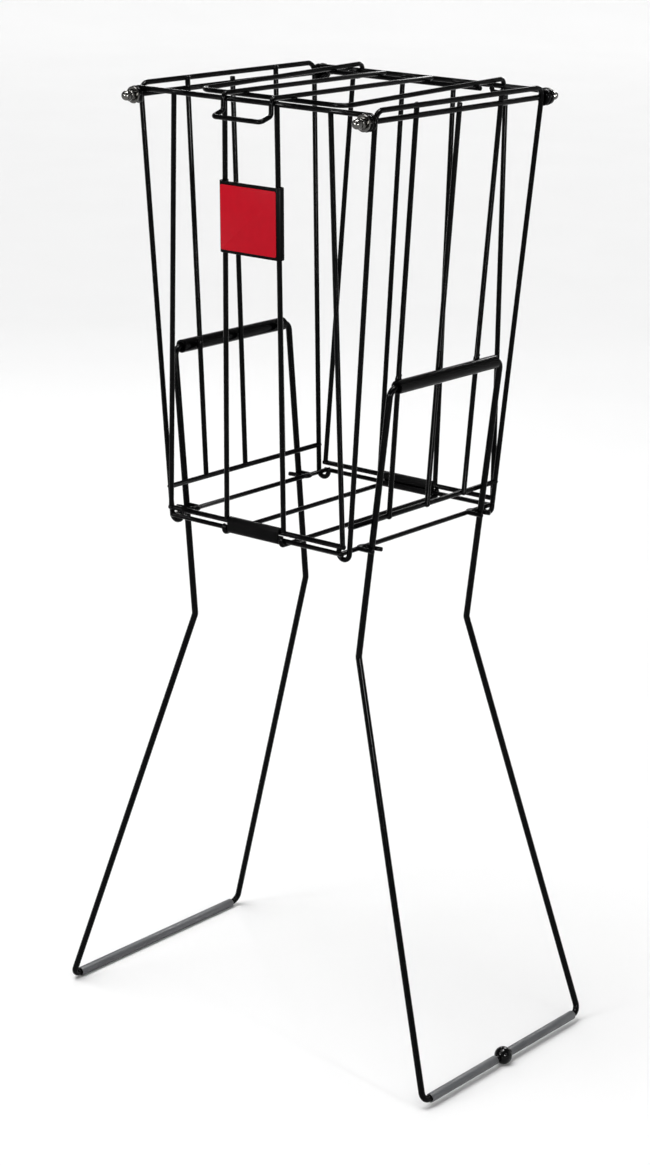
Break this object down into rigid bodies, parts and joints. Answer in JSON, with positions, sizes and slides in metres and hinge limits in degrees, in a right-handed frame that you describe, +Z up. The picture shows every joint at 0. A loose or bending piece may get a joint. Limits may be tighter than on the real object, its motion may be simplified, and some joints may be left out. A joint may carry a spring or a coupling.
{
  "type": "tennis ball hopper",
  "caption": "Tapered wire basket for tennis balls, with a hooked lid, a barred bottom that balls press through, and leg frames that swing up to become carry handles.",
  "frame": {"origin": "on the floor, under the middle of the bounding box", "axes": "+X towards the right leg, -Y the front with the sign plate and the lid latch, +Z up"},
  "size_m": [0.4478, 0.301, 0.9006],
  "materials": {
    "coated_wire": "glossy black powder coat on steel wire and tube",
    "black_plastic": "satin black moulded plastic",
    "gloss_black": "polished black plastic",
    "grey_grip": "matt dark grey extruded sleeve",
    "bright_nickel": "bright nickel plate",
    "red_label": "printed red label with a satin film"
  },
  "bodies": {
    "basket": {"front_panel": "coated_wire", "rear_panel": "coated_wire", "left_panel": "coated_wire", "right_panel": "coated_wire", "bottom_grid": "coated_wire", "front_binding_sleeve": "black_plastic", "rear_binding_sleeve": "black_plastic", "front_left_washer": "bright_nickel", "front_right_washer": "bright_nickel", "rear_left_washer": "bright_nickel", "rear_right_washer": "bright_nickel", "front_left_acorn_nut": "bright_nickel", "front_right_acorn_nut": "bright_nickel", "rear_left_acorn_nut": "bright_nickel", "rear_right_acorn_nut": "bright_nickel", "sign_plate": "black_plastic", "sign_label": "red_label", "left_pivot_sleeve": "coated_wire", "right_pivot_sleeve": "coated_wire"},
    "lid": {"lid": "coated_wire"},
    "left_leg": {"left_leg_frame": "coated_wire", "left_grip": "grey_grip"},
    "right_leg": {"right_leg_frame": "coated_wire", "right_front_grip": "grey_grip", "right_rear_grip": "grey_grip", "ball_knob": "gloss_black"}
  },
  "joints": [
    {"name": "right_leg_swing", "type": "hinge", "parent": "basket", "child": "right_leg", "pos_m": [0.12355, 0, 0.65], "axis": [0, -1, 0], "range_deg": [0, 182.2]},
    {"name": "left_leg_swing", "type": "hinge", "parent": "basket", "child": "left_leg", "pos_m": [-0.12765, 0, 0.65], "axis": [0, 1, 0], "range_deg": [0, 182.2]},
    {"name": "lid_hinge", "type": "hinge", "parent": "basket", "child": "lid", "pos_m": [-0.00205, 0.129, 0.8927], "axis": [-1, 0, 0], "range_deg": [0, 240]}
  ]
}
